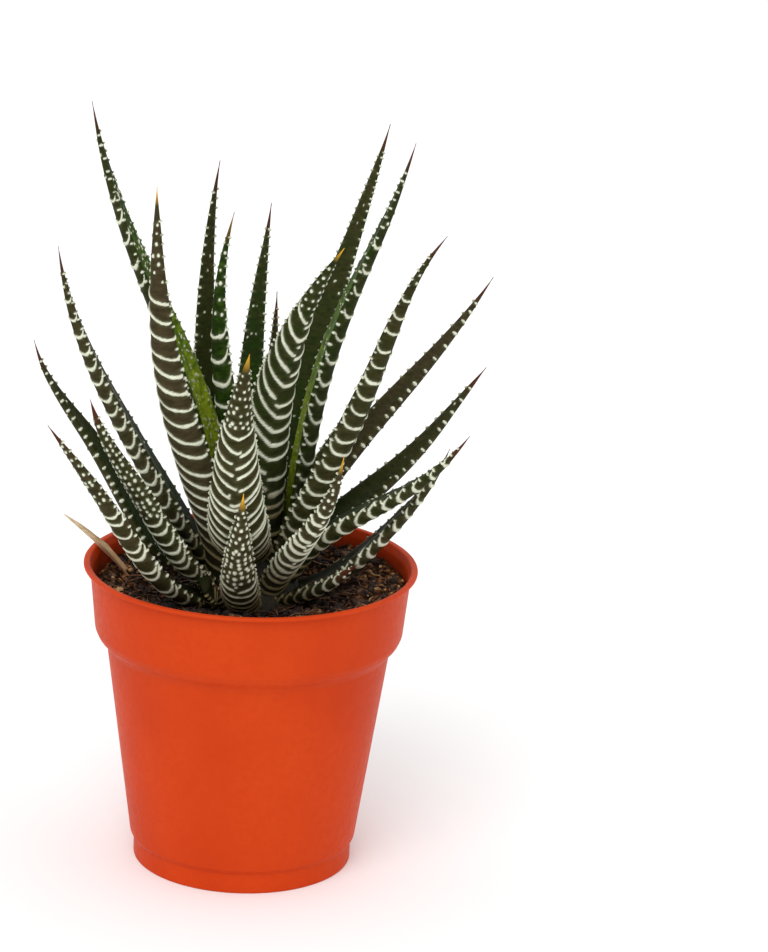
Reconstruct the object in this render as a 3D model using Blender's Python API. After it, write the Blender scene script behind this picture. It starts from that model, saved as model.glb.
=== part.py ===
"""Haworthia in a plastic nursery pot: the pot, the compost, the stem and its leaves.

Metres, +Z up. The origin is the centre of the pot's foot, on the surface it stands on.
Azimuths are degrees counter-clockwise from +X, seen from above. Leans are degrees from
the vertical, away from the stem. The front of the plant is the -Y side.
"""
import math
from collections import namedtuple

import bmesh
import bpy
from mathutils import Vector, noise

MM = 0.001
GAP = 0.3 * MM              # clearance between pieces that touch

# Pot
RIM_RADIUS = 42.5 * MM      # edge of the lip
POT_HEIGHT = 79.0 * MM
LIP_THICKNESS = 0.9 * MM
LIP_OVERHANG = 1.6 * MM     # how far the lip stands out from the band under it
WALL = 0.9 * MM
BAND_FOOT_RADIUS = 39.3 * MM
BAND_FOOT_HEIGHT = 62.0 * MM
SHOULDER_RADIUS = 36.2 * MM  # top of the tapered body, under the band
SHOULDER_HEIGHT = 57.5 * MM
BODY_FOOT_RADIUS = 29.1 * MM
BODY_FOOT_HEIGHT = 6.5 * MM
BASE_RADIUS = 28.1 * MM
BASE_STEP_HEIGHT = 5.2 * MM
BASE_EDGE = 1.0 * MM        # rounding where the wall meets the base
BASE_THICKNESS = 1.2 * MM
DRAIN_HOLES = 6
DRAIN_RADIUS = 3.5 * MM
DRAIN_CIRCLE = 19.0 * MM
POT_SEGMENTS = 48

# Compost
SOIL_LEVEL = 73.2 * MM      # mean height of its surface at the wall
SOIL_DISH = 4.2 * MM        # it lies this much lower around the stem
SOIL_TILT = 0.6 * MM        # it lies this much higher at the +X wall, and lower at -X
SOIL_BUMP = 0.5 * MM
SOIL_RINGS = 5
SOIL_SEGMENTS = 36

# Stem: radius against height; its foot is buried in the compost
STEM_PROFILE = ((60, 9.0), (70, 12.6), (74, 12.2), (80, 10.3), (88, 7.2), (93, 4.4), (95, 2.2))
STEM_SEGMENTS = 24

# Leaves
LEAF_RINGS = 12
LEAF_ROOT = 5.0 * MM        # run of the leaf inside the stem, trimmed back to its skin
LEAF_THICKNESS = 0.35       # of the width, at the base
TIP_THICKNESS = 0.60        # of the width, at the tip
Leaf = namedtuple("Leaf", "name azimuth sweep lean_base lean_low lean_high lean_tip length width height")
LEAVES = (
    # innermost leaves, nearly upright
    Leaf("inner_leaf_1", 60, -3, 37, 29, 33, 24, 108, 11, 90),
    Leaf("inner_leaf_2", 103, -41, 23, 24, 24, 11, 80, 10, 91),
    Leaf("inner_leaf_3", 128, 4, 52, 11, -3, -14, 95, 9, 90),
    Leaf("inner_leaf_4", 170, 2, -4, 21, 24, 9, 117, 12, 84),
    Leaf("inner_leaf_5", 214, -2, -4, 13, 1, -23, 83, 9, 90),
    # full-grown leaves
    Leaf("middle_leaf_1", 9, -4, 10, 10, 23, 12, 109, 12, 84),
    Leaf("middle_leaf_2", 25, -1, 25, 41, 45, 35, 88, 10, 82),
    Leaf("middle_leaf_3", 85, -6, 28, 27, 25, 0, 67, 8, 80),
    Leaf("middle_leaf_4", 187, 0, 36, 31, 25, 5, 92, 12, 80),
    Leaf("middle_leaf_5", 222, 4, 14, 23, 9, 1, 106, 13, 80),
    Leaf("middle_leaf_6", 258, 27, 74, 25, 20, 28, 72, 15, 85),
    Leaf("middle_leaf_7", 290, 9, -4, 19, 30, 43, 90, 14, 89),
    Leaf("middle_leaf_8", 332, 2, 17, 25, 19, 42, 99, 12, 82),
    # old outer leaves, low and spreading
    Leaf("outer_leaf_1", 356, 1, 78, 44, 40, 16, 55, 9, 73),
    Leaf("outer_leaf_2", 21, 0, 33, 54, 44, 45, 71, 10, 78),
    Leaf("outer_leaf_3", 64, 0, 62, 62, 56, 44, 62, 11, 77),
    Leaf("outer_leaf_4", 94, 0, 70, 64, 58, 50, 60, 12, 74),
    Leaf("outer_leaf_5", 116, 0, 66, 62, 56, 44, 42, 11, 77),
    Leaf("outer_leaf_6", 172, 3, 85, 29, 37, 7, 78, 10, 75),
    Leaf("outer_leaf_7", 212, -1, 68, 31, 34, 8, 66, 13, 76),
    Leaf("outer_leaf_8", 212, 2, 84, 36, 36, 37, 73, 10, 71),
    Leaf("outer_leaf_9", 261, 19, 68, 32, 28, 7, 44, 10, 72),
    Leaf("outer_leaf_10", 300, -1, 38, 44, 38, 6, 55, 9, 76),
    Leaf("outer_leaf_11", 343, -1, 18, 54, 53, 31, 62, 10, 78),
    # short leaves between the old ones
    Leaf("short_leaf_1", 325, 0, 66, 62, 54, 44, 24, 9, 73),
    Leaf("short_leaf_2", 236, 0, 66, 40, 12, 0, 15, 5, 72),
)
# Leaves that press on each other near the stem: the first is dented by the second
PRESSED = (
    ("inner_leaf_1", "inner_leaf_2"),
    ("inner_leaf_1", "middle_leaf_1"),
    ("middle_leaf_1", "middle_leaf_2"),
    ("inner_leaf_3", "inner_leaf_2"),
    ("inner_leaf_4", "inner_leaf_3"),
    ("middle_leaf_5", "middle_leaf_4"),
    ("middle_leaf_5", "middle_leaf_6"),
)

# The withered leaf: (distance from the pot's axis, height) of its midrib, base to tip
DRY_LEAF_MIDRIB = ((30, 72.9), (34, 75.3), (37.4, 77.7), (40.6, 79.9), (43.7, 81.9), (46.9, 83.9), (50.5, 86.1))
DRY_LEAF_AZIMUTH = 164
DRY_LEAF_WIDTH = 5.0 * MM
DRY_LEAF_THICKNESS = 0.7 * MM


def remove_default_objects():
    for obj in list(bpy.data.objects):
        bpy.data.objects.remove(obj)


def material(name, colour, roughness):
    made = bpy.data.materials.new(name)
    made.use_nodes = True
    shader = made.node_tree.nodes["Principled BSDF"]
    shader.inputs["Base Color"].default_value = (*colour, 1.0)
    shader.inputs["Roughness"].default_value = roughness
    shader.inputs["Metallic"].default_value = 0.0
    return made


def add_object(name, mesh_data, made_of, smooth_angle=40):
    mesh = bpy.data.meshes.new(name)
    bmesh.ops.recalc_face_normals(mesh_data, faces=mesh_data.faces)
    mesh_data.to_mesh(mesh)
    mesh_data.free()
    mesh.shade_smooth()
    mesh.set_sharp_from_angle(angle=math.radians(smooth_angle))
    mesh.materials.append(made_of)
    obj = bpy.data.objects.new(name, mesh)
    bpy.context.scene.collection.objects.link(obj)
    return obj


def cut(obj, cutter):
    cutter.hide_render = True
    cutter.display_type = "WIRE"
    boolean = obj.modifiers.new(cutter.name, "BOOLEAN")
    boolean.operation = "DIFFERENCE"
    boolean.solver = "EXACT"
    boolean.object = cutter


def bridge(mesh_data, rings):
    """Skin a stack of equal, closed rings of vertices."""
    for low, high in zip(rings, rings[1:]):
        count = len(low)
        for i in range(count):
            j = (i + 1) % count
            mesh_data.faces.new((low[i], low[j], high[j], high[i]))


def fan(mesh_data, ring, point):
    """Close a ring of vertices onto one point."""
    apex = mesh_data.verts.new(point)
    for i, vertex in enumerate(ring):
        mesh_data.faces.new((vertex, ring[(i + 1) % len(ring)], apex))


def lathe(profile, segments):
    """Turn (radius, height) points about Z; both ends of the profile close on the axis."""
    mesh_data = bmesh.new()
    turns = [math.tau * i / segments for i in range(segments)]
    rings = [[mesh_data.verts.new((r * math.cos(a), r * math.sin(a), z)) for a in turns]
             for r, z in profile]
    bridge(mesh_data, rings)
    fan(mesh_data, rings[0], (0, 0, profile[0][1]))
    fan(mesh_data, rings[-1], (0, 0, profile[-1][1]))
    return mesh_data


# ---------------------------------------------------------------- pot

def pot_outside():
    """Outer face, from the lip down to the base."""
    band_top = POT_HEIGHT - LIP_THICKNESS
    return [
        (RIM_RADIUS - 0.3 * MM, POT_HEIGHT),
        (RIM_RADIUS, POT_HEIGHT - 0.3 * MM),
        (RIM_RADIUS, band_top + 0.2 * MM),
        (RIM_RADIUS - 0.2 * MM, band_top),
        (RIM_RADIUS - LIP_OVERHANG, band_top),
        (BAND_FOOT_RADIUS, BAND_FOOT_HEIGHT),
        (BAND_FOOT_RADIUS - 0.8 * MM, BAND_FOOT_HEIGHT - 1.8 * MM),
        (SHOULDER_RADIUS + 0.5 * MM, SHOULDER_HEIGHT + 1.0 * MM),
        (SHOULDER_RADIUS, SHOULDER_HEIGHT),
        (BODY_FOOT_RADIUS, BODY_FOOT_HEIGHT),
        (BASE_RADIUS, BASE_STEP_HEIGHT),
        (BASE_RADIUS, BASE_EDGE),
        (BASE_RADIUS - 0.3 * BASE_EDGE, 0.3 * BASE_EDGE),
        (BASE_RADIUS - BASE_EDGE, 0.0),
    ]


def pot_inside(clearance=0.0):
    """Inner face, from the base up to the lip, moved inwards by a clearance."""
    inset = WALL + clearance
    floor = BASE_THICKNESS + clearance
    return [
        (BASE_RADIUS - inset - 0.5 * MM, floor),
        (BASE_RADIUS - inset, floor + 0.5 * MM),
        (BASE_RADIUS - inset, BASE_STEP_HEIGHT),
        (BODY_FOOT_RADIUS - inset, BODY_FOOT_HEIGHT),
        (SHOULDER_RADIUS - inset, SHOULDER_HEIGHT),
        (BAND_FOOT_RADIUS - inset, BAND_FOOT_HEIGHT),
        (RIM_RADIUS - LIP_OVERHANG - inset, POT_HEIGHT - 2.0 * MM),
        (RIM_RADIUS - LIP_OVERHANG - clearance, POT_HEIGHT),
    ]


def drain_cutters():
    mesh_data = bmesh.new()
    for i in range(DRAIN_HOLES):
        turn = math.tau * (i + 0.5) / DRAIN_HOLES
        made = bmesh.ops.create_cone(mesh_data, cap_ends=True, segments=20, radius1=DRAIN_RADIUS,
                                     radius2=DRAIN_RADIUS, depth=4 * BASE_THICKNESS)
        place = Vector((DRAIN_CIRCLE * math.cos(turn), DRAIN_CIRCLE * math.sin(turn), 0))
        bmesh.ops.translate(mesh_data, verts=made["verts"], vec=place)
    return mesh_data


def make_pot():
    terracotta = material("terracotta_plastic", (0.70, 0.075, 0.018), 0.42)
    pot = add_object("pot", lathe(pot_outside()[::-1] + pot_inside()[::-1], POT_SEGMENTS), terracotta)
    holes = add_object("drain_hole_cutter", drain_cutters(), terracotta)
    cut(pot, holes)


# ---------------------------------------------------------------- compost

def soil_height(x, y):
    bumps = noise.noise(Vector((x, y, 0)) / (9 * MM)) * SOIL_BUMP
    dish = SOIL_DISH * (1 - (x * x + y * y) / SHOULDER_RADIUS ** 2)
    return SOIL_LEVEL + SOIL_TILT * x / SHOULDER_RADIUS - dish + bumps


def wall_radius(height):
    """Radius of the pot's inner face, with the clearance, at a height in the band."""
    inside = pot_inside(GAP)
    for (r0, z0), (r1, z1) in zip(inside, inside[1:]):
        if z0 <= height <= z1:
            return r0 + (r1 - r0) * (height - z0) / (z1 - z0)
    return inside[-1][0]


def make_soil(stem_cutter):
    peat = material("peat_compost", (0.035, 0.018, 0.010), 0.95)
    mesh_data = bmesh.new()
    turns = [math.tau * i / SOIL_SEGMENTS for i in range(SOIL_SEGMENTS)]
    edge = wall_radius(SOIL_LEVEL - SOIL_TILT) - 0.1 * MM
    buried = [point for point in pot_inside(GAP) if point[1] < SOIL_LEVEL - 2 * SOIL_TILT]
    rings = [[mesh_data.verts.new((r * math.cos(a), r * math.sin(a), z)) for a in turns] for r, z in buried]
    for k in range(SOIL_RINGS):
        r = edge * (1 - k / SOIL_RINGS)
        rings.append([mesh_data.verts.new((r * math.cos(a), r * math.sin(a),
                                           soil_height(r * math.cos(a), r * math.sin(a)))) for a in turns])
    bridge(mesh_data, rings)
    fan(mesh_data, rings[0], (0, 0, buried[0][1]))
    fan(mesh_data, rings[-1], (0, 0, soil_height(0, 0)))
    cut(add_object("soil", mesh_data, peat), stem_cutter)


# ---------------------------------------------------------------- stem and leaves

def stem_radius(height):
    points = [(z * MM, r * MM) for z, r in STEM_PROFILE]
    for (z0, r0), (z1, r1) in zip(points, points[1:]):
        if z0 <= height <= z1:
            return r0 + (r1 - r0) * (height - z0) / (z1 - z0)
    return points[-1][1]


def make_stem():
    """The stem, and a cutter one gap larger that trims the leaves and the compost."""
    green = material("stem_green", (0.045, 0.060, 0.020), 0.6)
    profile = [(r * MM, z * MM) for z, r in STEM_PROFILE]
    add_object("stem", lathe(profile, STEM_SEGMENTS), green)
    grown = [(r + GAP, z) for r, z in profile]
    grown[0] = (grown[0][0], grown[0][1] - GAP)
    grown[-1] = (grown[-1][0], grown[-1][1] + GAP)
    return add_object("stem_cutter", lathe(grown, STEM_SEGMENTS), green)


def leaf_lean(leaf, t):
    """Cubic through the leans at the base, one third, two thirds and the tip."""
    leans = (leaf.lean_base, leaf.lean_low, leaf.lean_high, leaf.lean_tip)
    places = (0, 1 / 3, 2 / 3, 1)
    total = 0.0
    for here, lean in zip(places, leans):
        weight = math.prod((t - other) / (here - other) for other in places if other != here)
        total += lean * weight
    return total


def leaf_frame(leaf, t):
    """Unit vectors along the leaf, across it, and out of its upper face."""
    lean = math.radians(leaf_lean(leaf, t))
    turn = math.radians(leaf.azimuth + leaf.sweep * t)
    outward = Vector((math.cos(turn), math.sin(turn), 0))
    along = outward * math.sin(lean) + Vector((0, 0, math.cos(lean)))
    across = Vector((-math.sin(turn), math.cos(turn), 0))
    return along, across, along.cross(across)


def leaf_midrib(leaf, rings, steps=8):
    """Points of the midrib at equal spacing, from inside the stem to the tip."""
    turn = math.radians(leaf.azimuth)
    height = leaf.height * MM
    reach = stem_radius(height)
    outward = Vector((math.cos(turn), math.sin(turn), 0))
    point = outward * reach + Vector((0, 0, height))
    root = leaf_frame(leaf, 0)[0] * LEAF_ROOT + outward * min(0.5 * LEAF_ROOT, 0.5 * reach)
    points = [point - root, point.copy()]
    length = leaf.length * MM
    for i in range(rings):
        for k in range(steps):
            along = leaf_frame(leaf, (i + (k + 0.5) / steps) / rings)[0]
            point = point + along * (length / rings / steps)
        points.append(point.copy())
    return points


def leaf_width(leaf, t):
    taper = math.sin(math.pi / 2 * (1 - t) ** 1.1) ** 0.9
    neck = min(1.0, 0.62 + 2.4 * t)
    return leaf.width * MM * taper * neck


def leaf_section(width, t, grow):
    """Outline across a leaf, about the middle of its thickness: hollowed above, keeled below."""
    half = width / 2
    depth = width * (LEAF_THICKNESS + (TIP_THICKNESS - LEAF_THICKNESS) * t)
    top = 0.31 * depth
    hollow = 0.10 * depth * (1 - t)
    outline = ((half, top), (0.5 * half, top + 0.08 * depth - 0.75 * hollow), (0.0, top + 0.04 * depth - hollow),
               (-0.5 * half, top + 0.08 * depth - 0.75 * hollow), (-half, top),
               (-0.6 * half, top - 0.62 * depth), (0.0, top - depth), (0.6 * half, top - 0.62 * depth))
    return [(a * (1 + grow / half), b * (1 + 2 * grow / depth)) for a, b in outline]


def leaf_mesh(leaf, grow=0.0):
    mesh_data = bmesh.new()
    midrib = leaf_midrib(leaf, LEAF_RINGS)
    rings = []
    for i, point in enumerate(midrib[:-1]):
        t = max(0.0, (i - 1) / LEAF_RINGS)
        _, across, upper = leaf_frame(leaf, t)
        outline = leaf_section(leaf_width(leaf, t), t, grow)
        rings.append([mesh_data.verts.new(point + across * a + upper * b) for a, b in outline])
    bridge(mesh_data, rings)
    fan(mesh_data, rings[0], midrib[0])
    fan(mesh_data, rings[-1], midrib[-1])
    return mesh_data


def make_leaves(stem_cutter):
    green = material("leaf_green", (0.035, 0.055, 0.018), 0.45)
    by_name = {leaf.name: leaf for leaf in LEAVES}
    for leaf in LEAVES:
        made = add_object(leaf.name, leaf_mesh(leaf), green)
        cut(made, stem_cutter)
        for dented, neighbour in PRESSED:
            if dented == leaf.name:
                grown = leaf_mesh(by_name[neighbour], GAP)
                cut(made, add_object(neighbour + "_cutter", grown, green))


def make_dry_leaf():
    straw = material("dry_leaf_straw", (0.62, 0.45, 0.25), 0.8)
    mesh_data = bmesh.new()
    turn = math.radians(DRY_LEAF_AZIMUTH)
    outward = Vector((math.cos(turn), math.sin(turn), 0))
    across = Vector((-math.sin(turn), math.cos(turn), 0))
    points = [outward * (r * MM) + Vector((0, 0, z * MM)) for r, z in DRY_LEAF_MIDRIB]
    rings = []
    for i, point in enumerate(points[:-1]):
        half = DRY_LEAF_WIDTH / 2 * math.sin(math.pi / 2 * (1 - i / (len(points) - 1)) ** 0.8)
        along = (points[i + 1] - points[max(0, i - 1)]).normalized()
        upper = along.cross(across)
        rise = DRY_LEAF_THICKNESS / 2
        outline = ((half, 0.0), (0.5 * half, rise), (-0.5 * half, rise), (-half, 0.0),
                   (-0.5 * half, -rise), (0.5 * half, -rise))
        rings.append([mesh_data.verts.new(point + across * a + upper * b) for a, b in outline])
    bridge(mesh_data, rings)
    fan(mesh_data, rings[0], points[0])
    fan(mesh_data, rings[-1], points[-1])
    add_object("dry_leaf", mesh_data, straw)


def main():
    remove_default_objects()
    make_pot()
    stem_cutter = make_stem()
    make_soil(stem_cutter)
    make_leaves(stem_cutter)
    make_dry_leaf()


main()
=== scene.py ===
"""Potted haworthia: a succulent with white-banded leaves in a round nursery pot.

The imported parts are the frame. Each maker below lays its finished piece over them, in metres, +Z up.
"""
import math
from collections import namedtuple

import bmesh
import bpy
import numpy as np
from bpy.props import FloatProperty, FloatVectorProperty, IntProperty, PointerProperty
from mathutils import Matrix, Vector, noise
from mathutils.bvhtree import BVHTree


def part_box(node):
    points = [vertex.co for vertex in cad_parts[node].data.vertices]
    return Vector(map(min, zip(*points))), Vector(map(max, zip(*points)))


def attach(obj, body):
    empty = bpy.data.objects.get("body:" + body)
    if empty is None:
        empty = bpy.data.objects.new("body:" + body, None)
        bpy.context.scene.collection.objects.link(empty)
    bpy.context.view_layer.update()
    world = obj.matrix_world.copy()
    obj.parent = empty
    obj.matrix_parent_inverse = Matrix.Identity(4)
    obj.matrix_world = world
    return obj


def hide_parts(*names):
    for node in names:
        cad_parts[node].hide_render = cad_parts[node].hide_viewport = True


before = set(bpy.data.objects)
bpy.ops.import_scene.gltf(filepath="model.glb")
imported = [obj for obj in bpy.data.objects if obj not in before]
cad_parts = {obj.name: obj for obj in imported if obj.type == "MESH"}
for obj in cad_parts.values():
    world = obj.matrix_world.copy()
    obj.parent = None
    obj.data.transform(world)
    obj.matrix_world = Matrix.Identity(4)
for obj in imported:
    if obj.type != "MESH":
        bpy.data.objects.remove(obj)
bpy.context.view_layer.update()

bl_info = {
    "name": "Potted Haworthia",
    "version": (1, 0, 0),
    "blender": (4, 5, 0),
    "location": "3D View > Sidebar > Haworthia",
    "description": "Builds a potted haworthia piece by piece, with its compost, pot and studio",
    "category": "Add Mesh",
}

MM = 0.001
POT_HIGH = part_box("pot")[1]

# Skin of the leaves
ROW_STEP = 0.23 * MM        # along a leaf
COLUMNS = 84                # around a leaf
STATIONS = 44               # slices taken through each frame leaf
TUCK = 5.0 * MM             # how far a leaf runs on into the crown
FIRST_SEARCH = 25 * MM      # how far from its centre line a frame leaf is looked for, at first
SEARCH = 11 * MM            # and once the line is near it
BLUNT = 0.004               # part of the length left off at the tip, which a point then closes
SPINE_SMOOTH = 3.5 * MM     # reach of the smoothing along the centre line
WIDTH_SMOOTH = 3.0 * MM     # and of the width
THINNEST = 0.12 * MM        # half width at the very tip
CALM_REACH = 6 * MM         # the marks flatten this far from the tip
UNEVEN = 0.10 * MM          # slow unevenness of the skin
SHADED_BASE_REACH = 16 * MM        # painted shade: the skin and its marks are painted dark up to here, near the crown
DOT_SIZE = 0.50 * MM        # radius of a dot beyond the bands
DOT_SPACING = 1.9 * MM      # across the leaf
TOOTH_LEAST = 0.14          # mm: radius of the finest tooth on an edge
TOOTH_GROWTH = 0.09         # and how much it grows for each mm between teeth

# Pot
DRAIN_HOLES = 6
POT_COLUMNS = 224           # around the pot
POT_STEP = 3 * MM           # longest step along its outline
CORNER = 0.4 * MM           # rounding of its corners
SHARP = math.radians(50)    # edges sharper than this stay crisp
DUST = (0.055, 0.024, 0.012)

# Compost
COMPOST_COLUMNS = 360       # around it
COMPOST_RINGS = 110         # from the wall to the middle
COMPOST_RADIUS = 38 * MM
BURIED_BELOW = 0.066        # its sides lie under this height, its surface above
CROWN = 15 * MM             # within this radius its level is that of the crown's edge
CRUMB_REACH = 38.2 * MM     # crumbs and fibres lie this far out at most
FIBRE_REACH = 36.5 * MM
ABOVE_ALL = 0.2             # height from which rays are cast down

# Specular levels: low, because the white surroundings would veil dark skin with grey
LEAF_SHINE, MATT_SHINE, FLOOR_SHINE = 0.02, 0.05, 0.1
STEM_DARK, STEM_PALE = (0.010, 0.010, 0.005), (0.045, 0.035, 0.016)

# How each leaf is marked.
# tone: of the outer face, 0 brown, 0.2 olive, 0.5 dark green, 0.8 bright green, 1 lime; inner_tone: of
# the inner face
# first, last: where its bands start and stop, as a part of the length; pitch: mm between bands
# thick: mm; sag: how far the band's ends turn up, vee: how far its two halves slope, tilt: how far one
# end stands above the other, all of the half width; split: part of the bands that break at the keel
# dots: how many and how large the dots beyond the bands are, 1 for common; freckles: dots on the inner
# face for each 10 mm; teeth: mm between the teeth on its edges, which grow with it; twist: degrees that it
# turns about its own length; gold: 1 for a yellow tip
Look = namedtuple("Look", "tone inner_tone first last pitch thick sag vee tilt split dots freckles teeth "
                          "twist gold")
HIDDEN_LOOK = Look(0.15, 0.35, 0.05, 0.75, 4.4, 1.0, 0.5, 0.0, 0.0, 0.2, 0.9, 2.0, 2.6, 0, 0.0)
LOOKS = {
    "inner_leaf_1": Look(0.4, 0.4, 0.05, 0.30, 5.0, 0.9, 0.5, 0.0, 0.0, 0.3, 0.4, 0.8, 2.1, 0, 0.0),
    "inner_leaf_2": Look(0.55, 0.62, 0.05, 0.30, 4.8, 0.9, 0.5, 0.0, 0.0, 0.3, 0.5, 1.2, 2.4, 0, 0.0),
    "inner_leaf_3": Look(0.34, 0.4, 0.05, 0.5, 4.2, 0.9, 0.5, 0.0, 0.0, 0.3, 0.5, 1.2, 2.6, -12, 0.0),
    "inner_leaf_4": Look(0.28, 1.0, 0.05, 0.84, 5.2, 1.1, 0.5, 0.0, -0.45, 0.1, 0.8, 20.0, 2.6, -10, 0.0),
    "inner_leaf_5": Look(0.5, 0.55, 0.03, 0.68, 5.6, 1.3, 0.9, -0.05, -0.1, 0.0, 1.2, 1.0, 2.6, 0, 0.2),
    "middle_leaf_1": Look(0.34, 0.97, 0.05, 0.8, 5.7, 1.05, 0.5, 0.0, 0.45, 0.1, 0.9, 5.0, 2.6, -2, 0.0),
    "middle_leaf_2": Look(0.10, 0.14, 0.02, 0.20, 4.2, 0.8, 0.5, 0.0, 0.0, 0.5, 0.35, 0.4, 3.4, 10, 0.0),
    "middle_leaf_3": Look(0.20, 0.2, 0.05, 0.40, 4.2, 0.8, 0.5, 0.0, 0.0, 0.3, 0.5, 0.3, 2.0, 0, 0.0),
    "middle_leaf_4": Look(0.14, 0.46, 0.10, 0.86, 4.1, 1.0, 0.5, 0.0, -0.45, 0.1, 1.0, 1.5, 2.2, -4, 0.0),
    "middle_leaf_5": Look(0.05, 0.35, 0.02, 0.76, 4.5, 1.0, 0.15, 0.0, -0.5, 0.06, 1.0, 2.0, 2.6, -4, 1.0),
    "middle_leaf_6": Look(0.16, 0.40, 0.02, 0.7, 3.5, 1.0, 0.12, 0.36, 0.0, 0.7, 1.3, 2.0, 1.9, 0, 0.8),
    "middle_leaf_7": Look(0.32, 0.40, 0.02, 0.74, 4.8, 1.25, 0.22, 0.36, -0.42, 0.6, 1.3, 2.0, 2.0, 0, 1.0),
    "middle_leaf_8": Look(0.2, 0.40, 0.02, 0.84, 4.4, 0.8, 0.35, 0.0, 0.2, 0.75, 1.0, 2.0, 2.4, 4, 0.0),
    "outer_leaf_1": Look(0.14, 0.30, 0.10, 0.88, 4.6, 1.25, 0.5, 0.0, 0.35, 0.2, 1.2, 2.0, 2.4, 0, 0.0),
    "outer_leaf_2": Look(0.20, 0.34, 0.02, 0.25, 4.2, 0.8, 0.5, 0.0, 0.0, 0.5, 0.35, 0.7, 3.2, 11, 0.0),
    "outer_leaf_3": HIDDEN_LOOK,
    "outer_leaf_4": HIDDEN_LOOK,
    "outer_leaf_5": HIDDEN_LOOK,
    "outer_leaf_6": Look(0.18, 0.5, 0.10, 0.15, 4.0, 0.9, 0.5, 0.0, -0.3, 0.5, 0.4, 0.8, 3.0, -20, 0.0),
    "outer_leaf_7": Look(0.2, 0.35, 0.04, 0.48, 3.0, 1.0, 0.5, 0.0, -0.25, 0.35, 1.3, 2.0, 1.9, -10, 0.0),
    "outer_leaf_8": Look(0.12, 0.30, 0.06, 0.66, 3.9, 0.95, 0.4, 0.0, -0.3, 0.6, 1.5, 3.0, 2.4, -10, 0.0),
    "outer_leaf_9": Look(0.10, 0.30, 0.06, 0.42, 3.0, 1.1, 0.5, 0.0, 0.0, 0.3, 1.6, 2.0, 1.8, 0, 1.0),
    "outer_leaf_10": Look(0.08, 0.30, 0.05, 0.70, 3.3, 1.35, 0.25, 0.3, 0.15, 0.5, 1.3, 2.0, 1.9, 0, 1.0),
    "outer_leaf_11": Look(0.26, 0.45, 0.10, 0.88, 4.6, 1.2, 0.5, 0.0, 0.35, 0.2, 1.1, 3.0, 2.4, 0, 0.0),
    "short_leaf_1": Look(0.20, 0.35, 0.10, 0.80, 3.6, 0.9, 0.5, 0.0, 0.0, 0.2, 0.9, 1.5, 2.4, 0, 0.0),
    "short_leaf_2": Look(0.30, 0.40, 0.10, 0.70, 3.0, 0.8, 0.5, 0.0, 0.0, 0.2, 0.9, 1.5, 2.0, 0, 0.0),
}

# How a finished leaf bends away from its frame part, mm to the right and up: in the middle and at the
# tip; then how much wider it is.
Bend = namedtuple("Bend", "middle_x middle_z tip_x tip_z wider")
STRAIGHT = Bend(0.0, 0.0, 0.0, 0.0, 1.0)
BENDS = {
    "inner_leaf_1": Bend(0.5, 0.0, 0.4, 0.3, 0.95),
    "inner_leaf_2": Bend(0.7, 0.0, 0.0, 0.0, 0.82),
    "inner_leaf_3": Bend(-0.5, 0.0, -0.1, 0.2, 0.95),
    "inner_leaf_4": Bend(0.3, 0.0, 0.0, 1.4, 1.05),
    "inner_leaf_5": Bend(1.0, 0.0, 0.3, 0.3, 1.08),
    "middle_leaf_1": Bend(0.6, 0.0, 0.7, 0.3, 1.0),
    "middle_leaf_2": Bend(0.4, -0.6, 0.0, 0.0, 1.0),
    "middle_leaf_3": Bend(0.4, 0.0, 0.0, 0.0, 0.85),
    "middle_leaf_4": Bend(0.3, 0.1, 0.0, 0.2, 1.04),
    "middle_leaf_5": Bend(-0.3, 0.0, 0.3, 0.4, 1.1),
    "middle_leaf_6": Bend(-0.3, 0.0, 0.0, 0.0, 1.05),
    "middle_leaf_7": Bend(-0.7, 0.0, 2.4, 2.0, 1.04),
    "middle_leaf_8": Bend(0.4, -0.2, 1.0, -0.2, 1.05),
    "outer_leaf_1": Bend(0.3, -0.3, 0.0, 0.0, 1.1),
    "outer_leaf_2": Bend(0.6, -0.7, 0.6, 0.0, 1.0),
    "outer_leaf_6": Bend(-0.6, -0.5, -0.3, -2.2, 1.0),
    "outer_leaf_7": Bend(-0.4, -0.2, 0.0, -1.6, 1.0),
    "outer_leaf_8": Bend(-0.5, -0.6, 0.2, -0.4, 1.12),
    "outer_leaf_11": Bend(0.4, -0.6, 0.6, -0.4, 1.1),
}


# ------------------------------------------------------------------ shared helpers

def points_of(mesh):
    """A mesh's vertices, one a row."""
    points = np.empty(len(mesh.vertices) * 3)
    mesh.vertices.foreach_get("co", points)
    return points.reshape(-1, 3)


def frame_arrays(node):
    """Vertices and edges of a frame part."""
    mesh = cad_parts[node].data
    edges = np.empty(len(mesh.edges) * 2, int)
    mesh.edges.foreach_get("vertices", edges)
    return points_of(mesh), edges.reshape(-1, 2)


def unit(vectors):
    """The same directions, one long."""
    return vectors / np.linalg.norm(vectors, axis=-1, keepdims=True)


def smooth_rows(values, sigma):
    """Gaussian smoothing down the rows, with straight continuation past both ends."""
    reach = max(1, int(3 * sigma))
    kernel = np.exp(-0.5 * (np.arange(-reach, reach + 1) / sigma) ** 2)
    kernel /= kernel.sum()
    before = 2 * values[0] - values[reach:0:-1]
    after = 2 * values[-1] - values[-2:-reach - 2:-1]
    padded = np.concatenate([before, values, after])
    if padded.ndim == 1:
        return np.convolve(padded, kernel, "valid")
    return np.stack([np.convolve(column, kernel, "valid") for column in padded.T], axis=1)


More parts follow.
